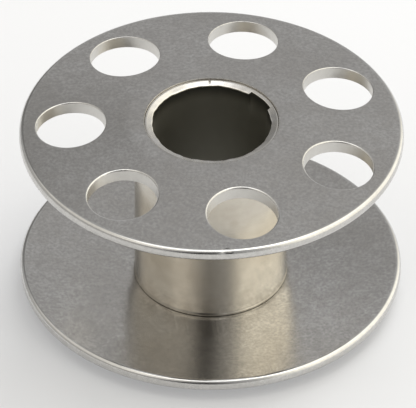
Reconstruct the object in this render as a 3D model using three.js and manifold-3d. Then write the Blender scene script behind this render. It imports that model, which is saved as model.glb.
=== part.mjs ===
// Sewing-machine bobbin: two pressed steel flanges riveted over the ends of a shouldered hub tube.
// Units are millimetres. +Z runs up the spindle axis and the origin is the centre of the lower end.

import * as THREE from 'three';
import { mergeVertices } from 'three/addons/utils/BufferGeometryUtils.js';
import Module from 'manifold-3d';

// Overall size
const FLANGE_RADIUS = 10.25;
const OVERALL_HEIGHT = 10.92;

// Flange: a pressed sheet disc, flat where the hub's shoulder clamps it and coned out to the rim
const SHEET = 0.72;
const LAND_RADIUS = 4.15;
const CONE_RISE = 0.64;
const RIM_ROUND = 0.25;

// Thread and inspection holes, punched square to the sheet of the upper flange
const HOLE_COUNT = 7;
const HOLE_CIRCLE_RADIUS = 7.5;
const HOLE_RADIUS = 1.87;
const HOLE_EDGE_BREAK = 0.09;
const FIRST_HOLE_ANGLE = Math.PI;

// Hub tube: full diameter between the flanges, a thin tenon through each flange, and a mouth that is
// rolled over outwards and lies just inside the flange's face
const HUB_RADIUS = 4.1;
const SHOULDER_CHAMFER = 0.12;
const TENON_RADIUS = 3.42;
const LIP_RADIUS = 3.56;
const LIP_DROP = 0.08;
const LIP_FOOT = 0.34;
const BORE_RADIUS = 3.15;
const MOUTH_ROUND = 0.3;

// Joint clearance between the tenon and the flange that it holds
const JOINT_GAP = 0.02;

// Butt seam of the rolled tube: a line down the outside and a tick across each mouth
const SEAM_ANGLE = THREE.MathUtils.degToRad(92);
const SEAM_WIDTH = 0.1;
const SEAM_DEPTH = 0.1;

// Relief notch inside the upper mouth: a wedge that is deepest at the mouth
const NOTCH_START = THREE.MathUtils.degToRad(21);
const NOTCH_END = THREE.MathUtils.degToRad(52);
const NOTCH_RADIUS = 3.38;
const NOTCH_FOOT_RADIUS = 3.05;
const NOTCH_DEPTH = 2.4;

// Facets: round the axis, round a punched hole, and in each quarter-round edge
const AXIS_SEGMENTS = 72;
const HOLE_SEGMENTS = 24;
const EDGE_SEGMENTS = 3;
const NOTCH_SEGMENTS = 8;

const MERGE_DISTANCE = 1e-5;
const CUT_MARGIN = 0.5;
const SLOPE = CONE_RISE / (FLANGE_RADIUS - LAND_RADIUS);

const wasm = await Module();
wasm.setup();

function steel(colour, roughness) {
  return new THREE.MeshStandardMaterial({ color: colour, roughness, metalness: 1 });
}

// Points of a quarter circle about (r, z), from one angle to another
function arc(r, z, radius, from, to) {
  const points = [];
  for (let i = 0; i <= EDGE_SEGMENTS; i++) {
    const angle = from + (to - from) * i / EDGE_SEGMENTS;
    points.push(new THREE.Vector2(r + radius * Math.cos(angle), z + radius * Math.sin(angle)));
  }
  return points;
}

// The outline reflected in the bobbin's middle plane, still running the same way round
function mirrored(points) {
  return points.map((p) => new THREE.Vector2(p.x, OVERALL_HEIGHT - p.y)).reverse();
}

// A line of points in radius and height, turned once about +Z
function turned(points, segments) {
  const geometry = new THREE.LatheGeometry(points, segments);
  geometry.rotateX(Math.PI / 2);
  return geometry;
}

// A closed outline clear of the axis, turned once about +Z
function turnedRing(outline) {
  return turned([...outline, outline[0].clone()], AXIS_SEGMENTS);
}

function toSolid(geometry) {
  const bare = geometry.clone();
  bare.deleteAttribute('normal');
  bare.deleteAttribute('uv');
  const merged = mergeVertices(bare, MERGE_DISTANCE);
  const indexed = new wasm.Mesh({
    numProp: 3,
    vertProperties: Float32Array.from(merged.attributes.position.array),
    triVerts: Uint32Array.from(merged.index.array),
  });
  return new wasm.Manifold(indexed);
}

function toGeometry(solid) {
  const mesh = solid.getMesh();
  const geometry = new THREE.BufferGeometry();
  geometry.setAttribute('position', new THREE.BufferAttribute(mesh.vertProperties, 3));
  geometry.setIndex(new THREE.BufferAttribute(mesh.triVerts, 1));
  geometry.computeVertexNormals();
  return geometry;
}

function cut(geometry, tools) {
  return toGeometry(tools.reduce((solid, tool) => solid.subtract(toSolid(tool)), toSolid(geometry)));
}

// Outline of the lower flange, with its outer face down and its land on z = 0
function flangeOutline() {
  const rim = FLANGE_RADIUS - RIM_ROUND;
  const rimOuterFace = SLOPE * (rim - LAND_RADIUS);
  const rimInnerFace = rimOuterFace + SHEET;
  return [
    new THREE.Vector2(LIP_RADIUS + JOINT_GAP, 0),
    new THREE.Vector2(LAND_RADIUS, 0),
    ...arc(rim, rimOuterFace + RIM_ROUND, RIM_ROUND, -Math.PI / 2, 0),
    ...arc(rim, rimInnerFace - RIM_ROUND, RIM_ROUND, 0, Math.PI / 2),
    new THREE.Vector2(LAND_RADIUS, SHEET),
    new THREE.Vector2(TENON_RADIUS + JOINT_GAP, SHEET),
    new THREE.Vector2(TENON_RADIUS + JOINT_GAP, LIP_FOOT),
    new THREE.Vector2(LIP_RADIUS + JOINT_GAP, LIP_DROP),
  ];
}

// The lower half of the hub's outside, from the lower lip up to full diameter
function hubFoot() {
  const shoulder = SHEET + JOINT_GAP;
  return [
    new THREE.Vector2(LIP_RADIUS, LIP_DROP),
    new THREE.Vector2(TENON_RADIUS, LIP_FOOT),
    new THREE.Vector2(TENON_RADIUS, shoulder),
    new THREE.Vector2(HUB_RADIUS - SHOULDER_CHAMFER, shoulder),
    new THREE.Vector2(HUB_RADIUS, shoulder + SHOULDER_CHAMFER),
  ];
}

// The rounded inner edge of the lower mouth, from the bore down to the lip
function mouth() {
  return arc(BORE_RADIUS + MOUTH_ROUND, LIP_DROP + MOUTH_ROUND, MOUTH_ROUND, Math.PI, 1.5 * Math.PI);
}

function hubOutline() {
  return [...hubFoot(), ...mirrored(hubFoot()), ...mirrored(mouth()), ...mouth()];
}

// The punch for one hole: a cylinder that widens where it breaks through each face of the sheet
function holePunch(angle) {
  const halfSheet = SHEET / 2;
  const wide = HOLE_RADIUS + HOLE_EDGE_BREAK + CUT_MARGIN;
  const reach = halfSheet + CUT_MARGIN;
  const punch = turned([
    new THREE.Vector2(0, -reach),
    new THREE.Vector2(wide, -reach),
    new THREE.Vector2(HOLE_RADIUS, HOLE_EDGE_BREAK - halfSheet),
    new THREE.Vector2(HOLE_RADIUS, halfSheet - HOLE_EDGE_BREAK),
    new THREE.Vector2(wide, reach),
    new THREE.Vector2(0, reach),
  ], HOLE_SEGMENTS);
  const middle = OVERALL_HEIGHT - SLOPE * (HOLE_CIRCLE_RADIUS - LAND_RADIUS) - halfSheet;
  punch.rotateY(Math.atan(SLOPE));
  punch.translate(HOLE_CIRCLE_RADIUS, 0, middle);
  punch.rotateZ(angle);
  return punch;
}

function upperFlange() {
  const punches = [];
  for (let i = 0; i < HOLE_COUNT; i++) {
    punches.push(holePunch(FIRST_HOLE_ANGLE + i * 2 * Math.PI / HOLE_COUNT));
  }
  return cut(turnedRing(mirrored(flangeOutline())), punches);
}

function lowerFlange() {
  return turnedRing(flangeOutline());
}

// A radial blade at the seam's angle, from one radius to another and one height to another
function seamBlade(innerRadius, outerRadius, bottom, top) {
  const blade = new THREE.BoxGeometry(outerRadius - innerRadius, SEAM_WIDTH, top - bottom);
  blade.translate((innerRadius + outerRadius) / 2, 0, (bottom + top) / 2);
  blade.rotateZ(SEAM_ANGLE);
  return blade;
}

function notchCutter() {
  const outline = new THREE.Shape();
  outline.absarc(0, 0, NOTCH_RADIUS, NOTCH_START, NOTCH_END, false);
  outline.absarc(0, 0, BORE_RADIUS - CUT_MARGIN, NOTCH_END, NOTCH_START, true);
  const cutter = new THREE.ExtrudeGeometry(outline, {
    depth: NOTCH_DEPTH, bevelEnabled: false, curveSegments: NOTCH_SEGMENTS,
  });
  const points = cutter.attributes.position;
  const lean = (1 - NOTCH_FOOT_RADIUS / NOTCH_RADIUS) / NOTCH_DEPTH;
  for (let i = 0; i < points.count; i++) {
    const shrink = 1 - lean * (NOTCH_DEPTH - points.getZ(i));
    points.setXY(i, points.getX(i) * shrink, points.getY(i) * shrink);
  }
  cutter.translate(0, 0, OVERALL_HEIGHT - NOTCH_DEPTH);
  return cutter;
}

function hubTube() {
  const outside = HUB_RADIUS + CUT_MARGIN;
  const inside = BORE_RADIUS - CUT_MARGIN;
  const tick = LIP_DROP + SEAM_DEPTH;
  return cut(turnedRing(hubOutline()), [
    seamBlade(HUB_RADIUS - SEAM_DEPTH, outside, 0, OVERALL_HEIGHT),
    seamBlade(inside, outside, OVERALL_HEIGHT - tick, OVERALL_HEIGHT),
    seamBlade(inside, outside, 0, tick),
    notchCutter(),
  ]);
}

const bobbin = new THREE.Group();

function addPart(name, geometry, material) {
  const mesh = new THREE.Mesh(geometry, material);
  mesh.name = name;
  bobbin.add(mesh);
}

addPart('lower_flange', lowerFlange(), steel(0xb3aea6, 0.3));
addPart('hub_tube', hubTube(), steel(0xaaa395, 0.32));
addPart('upper_flange', upperFlange(), steel(0xb3aea6, 0.3));

export default bobbin;
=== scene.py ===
"""Looks of a metal sewing-machine bobbin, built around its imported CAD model."""

import bisect
import math

import bmesh
import bpy
from mathutils import Matrix, Vector


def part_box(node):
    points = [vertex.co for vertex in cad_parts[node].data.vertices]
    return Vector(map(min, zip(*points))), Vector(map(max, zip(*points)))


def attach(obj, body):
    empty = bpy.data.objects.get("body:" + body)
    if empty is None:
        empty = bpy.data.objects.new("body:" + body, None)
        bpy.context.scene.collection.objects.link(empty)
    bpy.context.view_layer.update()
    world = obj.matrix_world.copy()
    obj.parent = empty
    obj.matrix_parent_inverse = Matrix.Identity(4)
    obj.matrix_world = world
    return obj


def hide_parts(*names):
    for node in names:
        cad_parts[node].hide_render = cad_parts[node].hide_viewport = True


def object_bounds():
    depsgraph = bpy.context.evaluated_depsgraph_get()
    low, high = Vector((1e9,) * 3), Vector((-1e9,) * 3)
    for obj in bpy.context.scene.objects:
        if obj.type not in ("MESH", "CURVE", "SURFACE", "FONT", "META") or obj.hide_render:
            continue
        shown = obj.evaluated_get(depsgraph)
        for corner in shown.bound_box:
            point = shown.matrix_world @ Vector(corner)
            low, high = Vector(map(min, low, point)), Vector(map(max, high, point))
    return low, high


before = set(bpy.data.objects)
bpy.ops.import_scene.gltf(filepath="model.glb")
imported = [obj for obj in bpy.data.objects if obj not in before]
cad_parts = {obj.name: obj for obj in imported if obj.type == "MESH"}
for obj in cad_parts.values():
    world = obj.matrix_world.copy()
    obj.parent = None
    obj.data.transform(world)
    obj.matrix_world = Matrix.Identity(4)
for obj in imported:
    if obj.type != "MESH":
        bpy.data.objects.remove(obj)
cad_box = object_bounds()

MM = 0.001

# ---- sizes, in millimetres, read from the frame where it holds them ----

FLANGE_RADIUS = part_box("upper_flange")[1].x / MM
HEIGHT = cad_box[1].z / MM

# Flange: a sheet that is flat as far as its land and coned from there out, with a soft bend between
# and a trace of waviness. The lower corner of each rim has the larger round.
SHEET = 0.72
LAND_RADIUS = 4.15
RIM_ROUND = 0.25
RIM_HIDDEN_ROUND = 0.35
FLANGE_DEPTH = (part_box("lower_flange")[1].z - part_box("lower_flange")[0].z) / MM
SLOPE = (FLANGE_DEPTH - SHEET) / (FLANGE_RADIUS - RIM_ROUND - LAND_RADIUS)
BEND = 0.55
LONG_WAVE = 0.0022
SHORT_WAVE = 0.0014
WAVE_FADE = 1.5

# Holes, punched square to the coned sheet of the upper flange. Their upper edges are rounder towards
# -Y by the spread, and sharper towards +Y.
HOLE_COUNT = 7
HOLE_CIRCLE = 7.5
HOLE_RADIUS = 1.87
HOLE_ROUND = 0.075
HOLE_ROUND_SPREAD = 0.035
HOLE_BURR_ROUND = 0.03
FIRST_HOLE = math.pi
SECTOR = 2 * math.pi / HOLE_COUNT

# Hub: a tube with a fine flare and undercut at each foot, then a tenon through the flange that ends
# in a rolled lip. The mouth slants in from the lip's crest and rolls over into the bore.
HUB_RADIUS = 4.1
FLARE_WIDTH = 0.03
FLARE_HEIGHT = 0.2
FLARE_LIP = 0.12
UNDERCUT = 0.04
TENON_RADIUS = 3.42
LIP_RADIUS = 3.56
LIP_DROP = 0.08
LIP_FOOT = 0.34
BORE_RADIUS = 3.15
LIP_CREST = 3.5
MOUTH_SLANT = math.radians(18)
MOUTH_SLANT_END = 3.22
MOUTH_ROUND = (MOUTH_SLANT_END - BORE_RADIUS) / (1 - math.sin(MOUTH_SLANT))
SLANT_DROP = (LIP_CREST - MOUTH_SLANT_END) * math.tan(MOUTH_SLANT)
MOUTH_DEPTH = SLANT_DROP + MOUTH_ROUND * math.cos(MOUTH_SLANT)
JOINT_GAP = 0.02
SEAT_ROUND = 0.015

# Butt seam of the tube, and the relief notch inside its upper mouth
SEAM_ANGLE = math.radians(92)
SEAM_WIDTH = 0.1
SEAM_DEPTH = 0.08
TICK_START = 0.16
TICK_END = 0.08
NOTCH_START = math.radians(21)
NOTCH_END = math.radians(52)
NOTCH_SOFT = math.radians(0.7)
NOTCH_SPREAD = math.radians(7)
NOTCH_RADIUS = 3.38
NOTCH_FOOT_RADIUS = 3.05
NOTCH_DEPTH = 2.4

# A small burr mark that the blanking punch left on the upper rim
NICK_ANGLE = math.radians(-85.5)
NICK_HALF_WIDTH = math.radians(1.2)
NICK_DEPTH = 0.07
NICK_REACH = 0.05

# Where the lip's unevenness sets in behind its crest and fades out down the bore, and how far round
# the lower lip's is shifted
WOBBLE_REACH = (0.05, 0.3)
WOBBLE_FADE = (0.4, 1.2)
LOWER_LIP_SHIFT = 2.0

# How finely the meshes are divided
ARC_STEPS = 44
SIDE_STEPS = 22
EDGE_STEPS = 8
LAND_STEPS = 14
CONE_STEPS = 4
BAND_STEPS = 26
RIM_STEPS = 6
HUB_COLUMNS = 240
HUB_EXTRA_COLUMNS = 5
HUB_STEPS = 20
FLARE_STEPS = 5
MOUTH_STEPS = 6
ROLL_STEPS = 10
BORE_STEPS = 24
WELD_DISTANCE = 2e-7
SHARP_ANGLE = math.radians(40)
SAME_ANGLE = 1e-4

# How strongly corners, the hub's foot and the bore near its mouth are darkened with painted shade and a
# little tarnish, and between which distances that fades
CORNER_SHADE_AND_PATINA = 0.6
FLARE_SHADE_AND_PATINA = 0.5
DULL_FOOT_SHADE_AND_PATINA = 0.35
FOOT_FADE = (0.1, 0.24)
LIP_FADE = (0.0, 0.16)
DULL_FOOT_FADE = (0.4, 1.0)
BORE_FADE = (0.2, 1.1)

# How bright the holes' edges are and how dull the rims between their corners, and the turns, in
# degrees from the face or from the rim's edge, where brightness fades or sets in
HOLE_POLISH = 0.6
HOLE_POLISH_FADE = (40, 80)
RIM_DULLNESS = 0.5
RIM_POLISH_RISE = (10, 50)


# ---- small helpers ----

def arc(r, z, radius, start, end, steps):
    """Points of a circle about (r, z), angles in degrees."""
    points = []
    for i in range(steps + 1):
        a = math.radians(start + (end - start) * i / steps)
        points.append((r + radius * math.cos(a), z + radius * math.sin(a)))
    return points


def spread(start, end, steps):
    """Evenly spaced numbers, both ends included."""
    return [start + (end - start) * i / steps for i in range(steps + 1)]


def smooth_step(x, low, high):
    """0 below low, 1 above high, and an S-shaped rise between."""
    t = min(1.0, max(0.0, (x - low) / (high - low)))
    return t * t * (3 - 2 * t)


def cone_drop(r):
    """How far the flange's face has coned away from its land at radius r, with a soft bend."""
    past = r - LAND_RADIUS
    if past <= -BEND:
        return 0.0
    if past >= BEND:
        return SLOPE * past
    return SLOPE * (past + BEND) ** 2 / (4 * BEND)


class Patch:
    """Collects quads with a few numbers on each vertex, then becomes one welded, smooth-shaded object.

    edge marks tumbled, shiny edges; wall marks dull cut or unpolished faces; the third mark darkens
    corners, and the bore near its mouth, with painted shade and a little tarnish.
    """

    LAYERS = ("edge", "wall", "grime")

    def __init__(self):
        self.mesh = bmesh.new()
        self.layers = {name: self.mesh.verts.layers.float.new(name) for name in self.LAYERS}

    def vert(self, x, y, z, **marks):
        v = self.mesh.verts.new((x * MM, y * MM, z * MM))
        for name, value in marks.items():
            v[self.layers[name]] = value
        return v

    def grid(self, rows):
        """Quads between neighbouring closed rows of vertices."""
        for upper, lower in zip(rows, rows[1:]):
            count = len(upper)
            for i in range(count):
                j = (i + 1) % count
                self.mesh.faces.new((upper[i], lower[i], lower[j], upper[j]))

    def finish(self, name):
        bmesh.ops.remove_doubles(self.mesh, verts=self.mesh.verts, dist=WELD_DISTANCE)
        bmesh.ops.recalc_face_normals(self.mesh, faces=self.mesh.faces)
        for face in self.mesh.faces:
            face.smooth = True
        for edge in self.mesh.edges:
            edge.smooth = edge.calc_face_angle(0) < SHARP_ANGLE
        data = bpy.data.meshes.new(name)
        self.mesh.to_mesh(data)
        self.mesh.free()
        piece = bpy.data.objects.new(name, data)
        bpy.context.scene.collection.objects.link(piece)
        return piece


# ---- flanges, built as the lower one and turned over for the upper ----

# The holes lie in a band of their own, with a margin inside and outside them
BAND_MARGINS = (0.45, 0.28)
BAND_INNER = HOLE_CIRCLE - HOLE_RADIUS - BAND_MARGINS[0]
BAND_OUTER = HOLE_CIRCLE + HOLE_RADIUS + BAND_MARGINS[1]
COLUMNS = HOLE_COUNT * ARC_STEPS
OUTER_FACE = 0
INNER_FACE = 1

# How far each row of a face lies from a hole's edge (0) towards the sides of its sector (1)
HOLE_BLENDS = (1.0, 0.75, 0.5, 0.3, 0.15, 0.06, 0.02)


def sheet_waviness(x, y):
    """The slight unevenness of a pressed sheet, a few thousandths of a millimetre."""
    long_wave = LONG_WAVE * math.sin(0.9 * x + 0.4 * y + 0.7)
    return long_wave + SHORT_WAVE * math.sin(1.7 * y - 1.1 * x + 2.1)


def face_point(x, y, side):
    """Height of the lower flange's outer or inner face over (x, y)."""
    r = math.hypot(x, y)
    fade = smooth_step(r, LAND_RADIUS, LAND_RADIUS + WAVE_FADE)
    return cone_drop(r) + side * SHEET + fade * sheet_waviness(x, y)


def face_grime(r, side):
    """Painted shade, with a little tarnish, darkens round the lip outside and against the hub's foot
    inside.
    """
    if side == INNER_FACE:
        return CORNER_SHADE_AND_PATINA * (1 - smooth_step(r - HUB_RADIUS, *FOOT_FADE))
    return CORNER_SHADE_AND_PATINA * (1 - smooth_step(r - LIP_RADIUS, *LIP_FADE))


def ring(patch, r, z_of, **marks):
    """A closed row of vertices at radius r, its height given by a function of x and y."""
    verts = []
    for i in range(COLUMNS):
        a = FIRST_HOLE - SECTOR / 2 + 2 * math.pi * i / COLUMNS
        x = r * math.cos(a)
        y = r * math.sin(a)
        verts.append(patch.vert(x, y, z_of(x, y), **marks))
    return verts


def face_rings(patch, radii, side):
    """Rings that follow one face of the flange."""
    rings = []
    for r in radii:
        rings.append(ring(patch, r, lambda x, y: face_point(x, y, side), grime=face_grime(r, side)))
    return rings


def level_rings(patch, outline, **marks):
    """Rings for an outline of (radius, height) points."""
    return [ring(patch, r, lambda x, y, z=z: z, **marks) for r, z in outline]


def rim_rings(patch, upper):
    """The tumbled rim, from the outer face round to the inner one: bright corners, duller between."""
    low_round = RIM_ROUND if upper else RIM_HIDDEN_ROUND
    high_round = RIM_HIDDEN_ROUND if upper else RIM_ROUND
    low = cone_drop(FLANGE_RADIUS - low_round) + low_round
    high = cone_drop(FLANGE_RADIUS - high_round) + SHEET - high_round
    rings = []
    for centre, size, start, end in ((low, low_round, -90, 0), (high, high_round, 0, 90)):
        turns = spread(start, end, EDGE_STEPS)
        points = arc(FLANGE_RADIUS - size, centre, size, start, end, EDGE_STEPS)
        for turn, (r, z) in zip(turns, points):
            polish = smooth_step(abs(turn), *RIM_POLISH_RISE)
            marks = {"edge": polish, "wall": RIM_DULLNESS * (1 - polish)}
            rings.append(ring(patch, r, lambda x, y, z=z: z + sheet_waviness(x, y), **marks))
    return rings


def seat_outline():
    """The hole in the middle that holds the hub's tenon, from the inner face out to the outer one."""
    seat = LIP_RADIUS + JOINT_GAP
    hole = TENON_RADIUS + JOINT_GAP
    outline = [(hole + SEAT_ROUND, SHEET), (hole, SHEET - SEAT_ROUND), (hole, LIP_FOOT)]
    outline.append((seat, LIP_DROP + SEAT_ROUND))
    return outline + arc(seat + SEAT_ROUND, SEAT_ROUND, SEAT_ROUND, 180, 270, EDGE_STEPS // 2)


def sector_loop():
    """Points round one sector of the holed band, as (radius, angle from the hole)."""
    half = SECTOR / 2
    loop = [(BAND_INNER, -half + SECTOR * i / ARC_STEPS) for i in range(ARC_STEPS)]
    loop += [(r, half) for r in spread(BAND_INNER, BAND_OUTER, SIDE_STEPS)[:-1]]
    loop += [(BAND_OUTER, half - SECTOR * i / ARC_STEPS) for i in range(ARC_STEPS)]
    loop += [(r, -half) for r in spread(BAND_OUTER, BAND_INNER, SIDE_STEPS)[:-1]]
    return loop


def hole_sector(patch, centre_angle):
    """One sector of both faces, with the hole's rounded edges and its wall."""
    tilt = math.atan(SLOPE)
    across = (math.cos(centre_angle), math.sin(centre_angle))
    along = (-across[1], across[0])
    through = Vector((-math.sin(tilt) * across[0], -math.sin(tilt) * across[1], math.cos(tilt)))
    outer_round = HOLE_ROUND - HOLE_ROUND_SPREAD * math.sin(centre_angle)
    rounds = {OUTER_FACE: outer_round, INNER_FACE: HOLE_BURR_ROUND}

    def place(u, v):
        """From distances out from and beside the hole's centre to x and y."""
        x = (HOLE_CIRCLE + u) * across[0] + v * along[0]
        y = (HOLE_CIRCLE + u) * across[1] + v * along[1]
        return x, y

    loop = []
    for r, a in sector_loop():
        loop.append((r * math.cos(a) - HOLE_CIRCLE, r * math.sin(a)))
    directions = [math.atan2(v, u / math.cos(tilt)) for u, v in loop]

    def face_row(side, blend):
        """Vertices on a face, part of the way from the hole's edge to the sector's."""
        reach = HOLE_RADIUS + rounds[side]
        row = []
        for (u, v), d in zip(loop, directions):
            hole_u = reach * math.cos(d) * math.cos(tilt)
            hole_v = reach * math.sin(d)
            x, y = place(hole_u + (u - hole_u) * blend, hole_v + (v - hole_v) * blend)
            row.append(patch.vert(x, y, face_point(x, y, side)))
        return row

    def edge_row(side, turn):
        """Vertices on the rounded edge, turned from the face (0) to the wall (a right angle)."""
        reach = HOLE_RADIUS + rounds[side] * (1 - math.sin(turn))
        deep = rounds[side] * (1 - math.cos(turn)) * (1 if side == OUTER_FACE else -1)
        polish = 1 - smooth_step(math.degrees(turn), *HOLE_POLISH_FADE)
        row = []
        for d in directions:
            x, y = place(reach * math.cos(d) * math.cos(tilt), reach * math.sin(d))
            point = Vector((x, y, face_point(x, y, side))) + through * deep
            row.append(patch.vert(*point, edge=HOLE_POLISH * polish, wall=1 - polish))
        return row

    turns = spread(0, math.pi / 2, EDGE_STEPS)
    rows = [face_row(OUTER_FACE, blend) for blend in HOLE_BLENDS]
    rows += [edge_row(OUTER_FACE, turn) for turn in turns]
    rows += [edge_row(INNER_FACE, turn) for turn in reversed(turns)]
    rows += [face_row(INNER_FACE, blend) for blend in reversed(HOLE_BLENDS)]
    patch.grid(rows)


def flange_body(patch, upper):
    """Both faces, the rim and the seat. The upper flange's band is left open for its holes."""
    inner = spread(LIP_RADIUS + JOINT_GAP + SEAT_ROUND, LAND_RADIUS + BEND, LAND_STEPS)
    inner += spread(LAND_RADIUS + BEND, BAND_INNER, CONE_STEPS)[1:]
    band = spread(BAND_INNER, BAND_OUTER, BAND_STEPS)
    rim_rounds = (RIM_ROUND, RIM_HIDDEN_ROUND) if upper else (RIM_HIDDEN_ROUND, RIM_ROUND)
    for side, rim_round in zip((OUTER_FACE, INNER_FACE), rim_rounds):
        outer = spread(BAND_OUTER, FLANGE_RADIUS - rim_round, RIM_STEPS)
        for radii in [inner, outer] if upper else [inner, band, outer]:
            patch.grid(face_rings(patch, radii, side))
    patch.grid(rim_rings(patch, upper))
    under_hub = [(inner[0], SHEET)] + seat_outline()[:1]
    patch.grid(level_rings(patch, under_hub, wall=1.0))
    patch.grid(level_rings(patch, seat_outline(), wall=0.6, grime=1.0))


def turn_over(patch):
    """Mirrors the lower flange's shape in the bobbin's middle plane."""
    for v in patch.mesh.verts:
        v.co.z = HEIGHT * MM - v.co.z


def nick(patch):
    """Presses the burr mark into the upper corner of the rim."""
    corner = FLANGE_RADIUS - RIM_ROUND
    top = HEIGHT - cone_drop(corner) - RIM_ROUND
    for v in patch.mesh.verts:
        r = math.hypot(v.co.x, v.co.y) / MM
        off = abs(math.atan2(v.co.y, v.co.x) - NICK_ANGLE)
        if off < NICK_HALF_WIDTH and r > corner - NICK_REACH and v.co.z / MM > top:
            depth = NICK_DEPTH * (1 - off / NICK_HALF_WIDTH)
            v.co.z -= depth * MM
            v.co.x *= 1 - depth / r
            v.co.y *= 1 - depth / r


def flange(name, upper):
    """One whole flange: the plain lower one, or the holed upper one."""
    patch = Patch()
    flange_body(patch, upper)
    if upper:
        for i in range(HOLE_COUNT):
            hole_sector(patch, FIRST_HOLE + i * SECTOR)
        turn_over(patch)
        nick(patch)
    return patch.finish(name)


# ---- hub ----

def hub_angles():
    """Even columns round the hub, with extra ones where the seam and the notch need them."""
    angles = [2 * math.pi * i / HUB_COLUMNS for i in range(HUB_COLUMNS)]
    for centre, step in ((SEAM_ANGLE, 0.25), (NOTCH_START, 0.3), (NOTCH_END, 0.3)):
        for k in range(-HUB_EXTRA_COLUMNS, HUB_EXTRA_COLUMNS + 1):
            bisect.insort(angles, centre + math.radians(step * k))
    kept = [angles[0]]
    for a in angles[1:]:
        if a - kept[-1] > SAME_ANGLE:
            kept.append(a)
    return kept


def lip_wobble(angle):
    """How far the inner edge of the rolled lip strays from a true circle."""
    slow = 0.014 * math.sin(5 * angle + 0.6) + 0.012 * math.sin(13 * angle + 1.9)
    fine = 0.014 * math.sin(29 * angle + 0.3) * math.sin(7 * angle + 1.1)
    return slow + fine


def hub_outside():
    """The lower half of the hub's outside, from mid-height to the lip, as (radius, height, marks)."""
    shoulder = SHEET + JOINT_GAP
    outline = []
    # Painted shade, with a little tarnish, darkens the hub towards its foot
    for z in spread(HEIGHT / 2, shoulder + FLARE_HEIGHT + 0.02, HUB_STEPS):
        above = smooth_step(z - shoulder, *DULL_FOOT_FADE)
        outline.append((HUB_RADIUS, z, {"grime": DULL_FOOT_SHADE_AND_PATINA * (1 - above)}))
    for t in spread(0, 1, FLARE_STEPS):
        z = shoulder + FLARE_HEIGHT - (FLARE_HEIGHT - FLARE_LIP) * t
        outline.append((HUB_RADIUS + FLARE_WIDTH * t ** 1.5, z, {"grime": FLARE_SHADE_AND_PATINA}))
    outline.append((HUB_RADIUS + UNDERCUT / 2, shoulder + UNDERCUT / 2, {"grime": CORNER_SHADE_AND_PATINA}))
    outline.append((HUB_RADIUS - UNDERCUT, shoulder, {"grime": CORNER_SHADE_AND_PATINA}))
    outline.append((TENON_RADIUS, shoulder, {"wall": 1.0}))
    outline.append((TENON_RADIUS, LIP_FOOT, {"wall": 1.0}))
    outline.append((LIP_RADIUS, LIP_DROP + 0.03, {"grime": 1.0}))
    outline.append((LIP_RADIUS - 0.01, LIP_DROP + 0.005, {"edge": 0.7}))
    return outline


def hub_inside():
    """The lower half of the hub's inside: the slanting mouth, its roll into the bore, and the bore."""
    outline = []
    for r in spread(LIP_CREST, MOUTH_SLANT_END, MOUTH_STEPS)[:-1]:
        outline.append((r, LIP_DROP + (LIP_CREST - r) * math.tan(MOUTH_SLANT), {"edge": 1.0}))
    start = 270 - math.degrees(MOUTH_SLANT)
    foot = LIP_DROP + MOUTH_DEPTH
    roll = arc(BORE_RADIUS + MOUTH_ROUND, foot, MOUTH_ROUND, start, 180, ROLL_STEPS)
    for i, (r, z) in enumerate(roll):
        inside = smooth_step(i / ROLL_STEPS, 0.2, 0.7)
        outline.append((r, z, {"edge": 1 - inside, "wall": inside, "grime": inside}))
    # Painted shade, with a little tarnish, down the bore: darkest by its mouth, gone further in
    for z in spread(foot + 0.1, HEIGHT / 2, BORE_STEPS):
        deep = smooth_step(z, *BORE_FADE)
        outline.append((BORE_RADIUS, z, {"wall": 1.0, "grime": 1 - deep}))
    return outline


def seam_cut(r, z, angle):
    """The butt seam: a fine groove down the outside, and a tick across the lip."""
    off = abs(angle - SEAM_ANGLE) * r
    groove = SEAM_DEPTH * (1 - smooth_step(off, SEAM_WIDTH * 0.15, SEAM_WIDTH * 0.6))
    if r > TENON_RADIUS + 0.01 and z > LIP_FOOT:
        return r - groove, z
    if z < LIP_DROP + MOUTH_DEPTH:
        return r, z + groove * smooth_step(r, LIP_CREST - TICK_START, LIP_CREST - TICK_END)
    return r, z


def notch_cut(r, z, angle):
    """The relief inside the mouth: its wall leans in to the bore, and the lip thins beside it."""
    soft = NOTCH_SOFT + NOTCH_SPREAD * z / NOTCH_DEPTH
    depth = smooth_step(angle, NOTCH_START, NOTCH_START + soft)
    depth *= 1 - smooth_step(angle, NOTCH_END - soft, NOTCH_END)
    wall = NOTCH_RADIUS - (NOTCH_RADIUS - NOTCH_FOOT_RADIUS) * z / NOTCH_DEPTH
    squeeze = (LIP_CREST - wall) / (LIP_CREST - BORE_RADIUS)
    if z <= LIP_DROP + MOUTH_DEPTH:
        z += (z - LIP_DROP) * (squeeze - 1) * depth
    cut_r = LIP_CREST - (LIP_CREST - r) * squeeze
    return r + max(0.0, cut_r - r) * depth, z


def mouth_shape(r, z, angle, upper):
    """Where a point of the hub's inside goes at one angle, with the uneven lip and the notch."""
    reached = smooth_step(LIP_CREST - r, *WOBBLE_REACH) * (1 - smooth_step(z, *WOBBLE_FADE))
    r += lip_wobble(angle if upper else angle + LOWER_LIP_SHIFT) * reached
    return notch_cut(r, z, angle) if upper and z < NOTCH_DEPTH else (r, z)


def hub(name):
    """The tube, as a lower half and its reflection. Only the upper half has the notch."""
    patch = Patch()
    angles = hub_angles()
    outline = [(point, False) for point in hub_outside()] + [(point, True) for point in hub_inside()]
    for upper in (False, True):
        rows = []
        for (r, z, marks), inside in outline:
            row = []
            for a in angles:
                at_r, at_z = mouth_shape(r, z, a, upper) if inside else (r, z)
                at_r, at_z = seam_cut(at_r, at_z, a)
                height = HEIGHT - at_z if upper else at_z
                row.append(patch.vert(at_r * math.cos(a), at_r * math.sin(a), height, **marks))
            rows.append(row)
        patch.grid(rows)
    return patch.finish(name)


# ---- materials ----

BUMP_DISTANCE = 0.01 * MM


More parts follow.
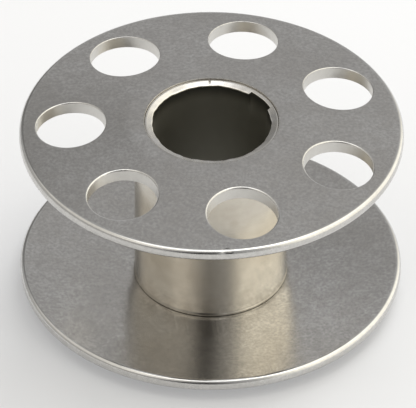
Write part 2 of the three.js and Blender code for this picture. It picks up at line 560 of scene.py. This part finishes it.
class Nodes:
    """A short way to write a node tree."""

    def __init__(self, tree):
        self.tree = tree

    def add(self, kind, **settings):
        node = self.tree.nodes.new(kind)
        for key, value in settings.items():
            setattr(node, key, value)
        return node

    def put(self, socket, value):
        """Links a socket to another node, or sets it to a plain value."""
        if isinstance(value, bpy.types.NodeSocket):
            self.tree.links.new(value, socket)
        else:
            socket.default_value = value

    def math(self, operation, *values):
        node = self.add("ShaderNodeMath", operation=operation)
        for socket, value in zip(node.inputs, values):
            self.put(socket, value)
        return node.outputs["Value"]

    def ranged(self, value, low, high, to_low=0.0, to_high=1.0, kind="LINEAR"):
        node = self.add("ShaderNodeMapRange", interpolation_type=kind)
        numbers = (value, low, high, to_low, to_high)
        for key, number in zip(("Value", "From Min", "From Max", "To Min", "To Max"), numbers):
            self.put(node.inputs[key], number)
        return node.outputs["Result"]

    def mix(self, factor, a, b):
        node = self.add("ShaderNodeMix", data_type="RGBA")
        self.put(node.inputs["Factor"], factor)
        for key, value in (("A", a), ("B", b)):
            self.put(next(s for s in node.inputs if s.name == key and s.type == "RGBA"), value)
        return next(s for s in node.outputs if s.type == "RGBA")

    def noise(self, vector, scale, detail, rough):
        node = self.add("ShaderNodeTexNoise")
        node.inputs["Scale"].default_value = scale
        node.inputs["Detail"].default_value = detail
        node.inputs["Roughness"].default_value = rough
        self.put(node.inputs["Vector"], vector)
        return node.outputs["Fac"]

    def mapped(self, vector, turn, scale):
        """The vector turned about Z by an angle in degrees, then scaled along each axis."""
        turned = self.add("ShaderNodeMapping")
        turned.inputs["Rotation"].default_value = (0, 0, math.radians(turn))
        self.put(turned.inputs["Vector"], vector)
        node = self.add("ShaderNodeMapping")
        node.inputs["Scale"].default_value = scale
        self.put(node.inputs["Vector"], turned.outputs["Vector"])
        return node.outputs["Vector"]

    def swing(self, value, to_low, to_high):
        """A noise's usual spread, from 0.3 to 0.7, stretched over two other values."""
        return self.ranged(value, 0.3, 0.7, to_low, to_high)

    def attribute(self, name):
        return self.add("ShaderNodeAttribute", attribute_name=name).outputs["Fac"]

    def bump(self, height, strength):
        node = self.add("ShaderNodeBump")
        node.inputs["Strength"].default_value = strength
        node.inputs["Distance"].default_value = BUMP_DISTANCE
        self.put(node.inputs["Height"], height)
        return node.outputs["Normal"]


def new_material(name):
    """A material, the short way to its nodes, and its shader's sockets."""
    material = bpy.data.materials.new(name)
    material.use_nodes = True
    return material, Nodes(material.node_tree), material.node_tree.nodes["Principled BSDF"].inputs


def hairlines(n, place, turn):
    """Sparse fine scratches lying one way, 1 on a scratch and 0 off it."""
    streak = n.noise(n.mapped(place, turn, (0.1, 9, 1)), 1000, 0, 0.4)
    patchy = n.noise(n.mapped(place, turn, (0.6, 1, 1)), 500, 1, 0.5)
    lines = n.ranged(streak, 0.66, 0.74, kind="SMOOTHSTEP")
    return n.math("MULTIPLY", lines, n.ranged(patchy, 0.56, 0.7, kind="SMOOTHSTEP"))


def plated_sheet():
    """Satin nickel over pressed sheet: soft mottling, hairline scratches, tumbled bright edges."""
    material, n, shader = new_material("satin_nickel_sheet")
    place = n.add("ShaderNodeTexCoord").outputs["Object"]
    cloud = n.noise(place, 260, 2, 0.5)
    mottle = n.noise(place, 1500, 3, 0.55)
    grain = n.noise(place, 6000, 1, 0.5)
    scratch = n.math("MAXIMUM", hairlines(n, place, 28), hairlines(n, place, -51))
    scratch = n.math("MAXIMUM", scratch, hairlines(n, place, 84))
    edge = n.attribute("edge")
    wall = n.attribute("wall")
    grime = n.attribute("grime")

    dark_plate = (0.625, 0.613, 0.60, 1)
    light_plate = (0.705, 0.70, 0.695, 1)
    blotch = (0.50, 0.485, 0.47, 1)
    speck = (0.46, 0.455, 0.45, 1)
    scratched = (0.80, 0.79, 0.77, 1)
    tumbled = (0.69, 0.69, 0.685, 1)
    punched = (0.67, 0.655, 0.62, 1)
    # Colour of the painted shade, with a little tarnish, in the sheet's corners
    shaded_tarnish = (0.36, 0.335, 0.30, 1)

    colour = n.mix(n.ranged(cloud, 0.35, 0.65), dark_plate, light_plate)
    colour = n.mix(n.ranged(mottle, 0.35, 0.7, 0, 0.5), colour, blotch)
    colour = n.mix(n.swing(grain, 0, 0.62), colour, speck)
    colour = n.mix(n.math("MULTIPLY", scratch, 0.08), colour, scratched)
    colour = n.mix(n.math("MULTIPLY", edge, n.swing(mottle, 1.0, 0.6)), colour, tumbled)
    colour = n.mix(n.math("MULTIPLY", wall, 0.8), colour, punched)
    # Painted shade, with a little tarnish, by the lip and against the hub's foot
    colour = n.mix(n.math("MULTIPLY", grime, n.swing(mottle, 0.25, 0.6)), colour, shaded_tarnish)
    n.put(shader["Base Color"], colour)

    rough = n.swing(mottle, 0.17, 0.235)
    for mark, change in ((scratch, 0.03), (wall, 0.16), (grime, 0.06), (edge, -0.06)):
        rough = n.math("MULTIPLY_ADD", mark, change, rough)
    n.put(shader["Roughness"], rough)
    shader["Metallic"].default_value = 1.0
    height = n.math("MULTIPLY_ADD", grain, 0.25, mottle)
    height = n.math("MULTIPLY_ADD", scratch, -0.02, height)
    n.put(shader["Normal"], n.bump(height, 0.3))
    return material


def plated_tube():
    """Nickel over a rolled tube: faint rings outside, a bright lip, and painted shade in the bore,
    darkest at its mouth.
    """
    material, n, shader = new_material("drawn_nickel_tube")
    place = n.add("ShaderNodeTexCoord").outputs["Object"]
    cloud = n.noise(place, 330, 2, 0.5)
    mottle = n.noise(place, 1700, 3, 0.55)
    rings = n.noise(n.mapped(place, 0, (0.04, 0.04, 12)), 900, 2, 0.5)
    edge = n.attribute("edge")
    wall = n.attribute("wall")
    grime = n.attribute("grime")

    dark_plate = (0.62, 0.575, 0.495, 1)
    light_plate = (0.68, 0.645, 0.575, 1)
    blotch = (0.50, 0.455, 0.385, 1)
    turned = (0.42, 0.39, 0.34, 1)
    rolled = (0.80, 0.79, 0.78, 1)
    unpolished = (0.34, 0.33, 0.285, 1)
    # Colours of the painted shade: with a little tarnish in the corners, and near black in the bore by
    # its mouth
    shaded_tarnish = (0.28, 0.25, 0.205, 1)
    bore_mouth_shade = (0.10, 0.10, 0.085, 1)

    colour = n.mix(n.ranged(cloud, 0.35, 0.65), dark_plate, light_plate)
    colour = n.mix(n.ranged(mottle, 0.35, 0.7, 0, 0.3), colour, blotch)
    colour = n.mix(n.ranged(rings, 0.4, 0.7, 0, 0.12), colour, turned)
    colour = n.mix(n.math("MULTIPLY", edge, n.swing(mottle, 1.0, 0.6)), colour, rolled)
    colour = n.mix(wall, colour, unpolished)
    # Painted shade in the corners, and near-black painted shade in the bore by its mouth
    colour = n.mix(n.math("MULTIPLY", grime, n.swing(mottle, 0.25, 0.7)), colour, shaded_tarnish)
    colour = n.mix(n.math("MULTIPLY", wall, grime), colour, bore_mouth_shade)
    n.put(shader["Base Color"], colour)

    rough = n.swing(mottle, 0.17, 0.24)
    for mark, change in ((wall, 0.3), (edge, 0.04)):
        rough = n.math("MULTIPLY_ADD", mark, change, rough)
    n.put(shader["Roughness"], rough)
    shader["Metallic"].default_value = 1.0
    height = n.math("MULTIPLY_ADD", rings, 0.2, mottle)
    n.put(shader["Normal"], n.bump(height, 0.25))
    return material


def pale_floor():
    """A pale plastic table, lit a little from below so that shadows on it stay soft."""
    material, n, shader = new_material("pale_floor")
    place = n.add("ShaderNodeTexCoord").outputs["Object"]
    darker = (0.43, 0.437, 0.455, 1)
    lighter = (0.45, 0.457, 0.475, 1)
    n.put(shader["Base Color"], n.mix(n.noise(place, 30, 2, 0.5), darker, lighter))
    shader["Roughness"].default_value = 0.6
    shader["Specular IOR Level"].default_value = 0.2
    shader["Emission Color"].default_value = (1.0, 1.0, 1.0, 1)
    shader["Emission Strength"].default_value = 0.27
    return material


# ---- stage, light and camera ----

FLOOR_RADIUS = 3.0
FLOOR_GAP = 0.01 * MM


def floor():
    """The table, a hair below the bobbin."""
    mesh = bmesh.new()
    bmesh.ops.create_circle(mesh, cap_ends=True, segments=96, radius=FLOOR_RADIUS)
    data = bpy.data.meshes.new("floor")
    mesh.to_mesh(data)
    mesh.free()
    piece = bpy.data.objects.new("floor", data)
    piece.location.z = cad_box[0].z - FLOOR_GAP
    bpy.context.scene.collection.objects.link(piece)
    data.materials.append(pale_floor())


# The studio round the bobbin, as soft-edged panels on an even grey room. Angles are in degrees:
# compass directions with 0 towards the camera and positive to its right, then heights above the
# horizon, each with how soft its edges are. A panel adds its strength to the room, or takes it away.
# The ceiling's compass directions reach past a full turn, so that it has no sides.
ROOM = (0.455, 0.45, 0.44)
PANELS = (
    ("gap below the camera", (-20, 10, 22), (-100, 35, 6), -0.45, (1.0, 0.99, 0.965)),
    ("camera", (-14, 12, 18), (42, 50.5, 4), -0.4, (0.94, 0.97, 1.0)),
    ("window", (41, 149, 36), (-20, 100, 10), 1.05, (1.0, 0.95, 0.80)),
    ("top of the window", (48, 140, 30), (45, 100, 14), 0.27, (1.0, 0.97, 0.88)),
    ("lamp on the left", (-138, -16, 20), (35, 100, 12), 0.34, (1.0, 0.93, 0.80)),
    ("brighter strip of it", (-66, -32, 14), (37, 100, 10), 0.3, (1.0, 0.95, 0.85)),
    ("left wall", (-130, -34, 24), (-20, 100, 10), 0.05, (1.0, 0.85, 0.5)),
    ("gap at the back", (-168, -145, 10), (-20, 48, 10), -0.24, (1.0, 1.0, 1.0)),
    ("ceiling", (-400, 400, 1), (70, 100, 12), 1.2, (1.0, 0.995, 0.98)),
)


def studio():
    """The world's light, worked out from the direction alone."""
    world = bpy.data.worlds.new("studio")
    bpy.context.scene.world = world
    world.use_nodes = True
    world.node_tree.nodes.clear()
    n = Nodes(world.node_tree)
    split = n.add("ShaderNodeSeparateXYZ")
    n.put(split.inputs["Vector"], n.add("ShaderNodeTexCoord").outputs["Generated"])
    forward = n.math("MULTIPLY", split.outputs["Y"], -1.0)
    compass = n.math("DEGREES", n.math("ARCTAN2", split.outputs["X"], forward))
    height = n.math("DEGREES", n.math("ARCSINE", split.outputs["Z"]))

    def between(angle, start, end, soft):
        """1 where the angle lies between two others and 0 outside, with soft edges."""
        rise = n.ranged(angle, start - soft / 2, start + soft / 2, kind="SMOOTHSTEP")
        fall = n.ranged(angle, end - soft / 2, end + soft / 2, 1.0, 0.0, kind="SMOOTHSTEP")
        return n.math("MULTIPLY", rise, fall)

    light = n.add("ShaderNodeCombineXYZ")
    for socket, value in zip(light.inputs, ROOM):
        socket.default_value = value
    total = light.outputs["Vector"]
    for _, sweep, rise, strength, tint in PANELS:
        covered = n.math("MULTIPLY", between(compass, *sweep), between(height, *rise))
        node = n.add("ShaderNodeVectorMath", operation="MULTIPLY_ADD")
        spot = n.add("ShaderNodeCombineXYZ")
        for socket in spot.inputs:
            n.put(socket, covered)
        n.put(node.inputs[0], spot.outputs["Vector"])
        node.inputs[1].default_value = [strength * c for c in tint]
        n.put(node.inputs[2], total)
        total = node.outputs["Vector"]
    background = n.add("ShaderNodeBackground")
    n.put(background.inputs["Color"], total)
    output = n.add("ShaderNodeOutputWorld")
    n.put(output.inputs["Surface"], background.outputs["Background"])


SKYLIGHT_PLACE = Vector((0.045, 0.095, 0.11))
SKYLIGHT_SIZE = 0.11
SKYLIGHT_STRENGTH = 4.4


def skylight():
    """A soft panel behind and to the right. It lights the table, but the metal doesn't reflect it."""
    data = bpy.data.lights.new("skylight", "AREA")
    data.shape = "SQUARE"
    data.size = SKYLIGHT_SIZE
    data.energy = math.pi * SKYLIGHT_SIZE ** 2 * SKYLIGHT_STRENGTH
    data.color = (1.0, 0.995, 0.985)
    panel = bpy.data.objects.new("skylight", data)
    panel.location = SKYLIGHT_PLACE
    panel.rotation_euler = SKYLIGHT_PLACE.to_track_quat("Z", "Y").to_euler()
    panel.visible_glossy = False
    bpy.context.scene.collection.objects.link(panel)


# The camera stands on the -Y side, in metres and radians
ELEVATION = math.radians(39.43)
DISTANCE = 0.5
LENS = 807.4
ROLL = 0.0069
AIM_LEFT = 0.162 * MM
AIM_DOWN = 0.24 * MM


def camera():
    """A long lens well back, looking down along +Y."""
    data = bpy.data.cameras.new("camera")
    data.lens = LENS
    data.sensor_width = 36.0
    data.clip_start = 0.01
    data.clip_end = 20.0
    viewer = bpy.data.objects.new("camera", data)
    bpy.context.scene.collection.objects.link(viewer)
    back = Vector((0, -math.cos(ELEVATION), math.sin(ELEVATION)))
    right = Vector((1, 0, 0))
    up = back.cross(right)
    middle = Vector((0, 0, HEIGHT * MM / 2))
    place = middle + back * DISTANCE
    aim = middle - right * AIM_LEFT - up * AIM_DOWN
    looking = (aim - place).to_track_quat("-Z", "Y").to_matrix().to_4x4()
    viewer.matrix_world = Matrix.Translation(place) @ looking @ Matrix.Rotation(ROLL, 4, "Z")
    bpy.context.scene.camera = viewer


# ---- assembly ----

def place_piece(piece, node, material):
    """Puts a piece on the root body, in the place of its CAD node."""
    piece.data.materials.append(material)
    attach(piece, "root")
    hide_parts(node)


bpy.context.scene.view_settings.view_transform = "Standard"
sheet = plated_sheet()
place_piece(flange("lower_flange_disc", upper=False), "lower_flange", sheet)
place_piece(flange("upper_flange_disc", upper=True), "upper_flange", sheet)
place_piece(hub("hub_tube_body"), "hub_tube", plated_tube())
floor()
studio()
skylight()
camera()
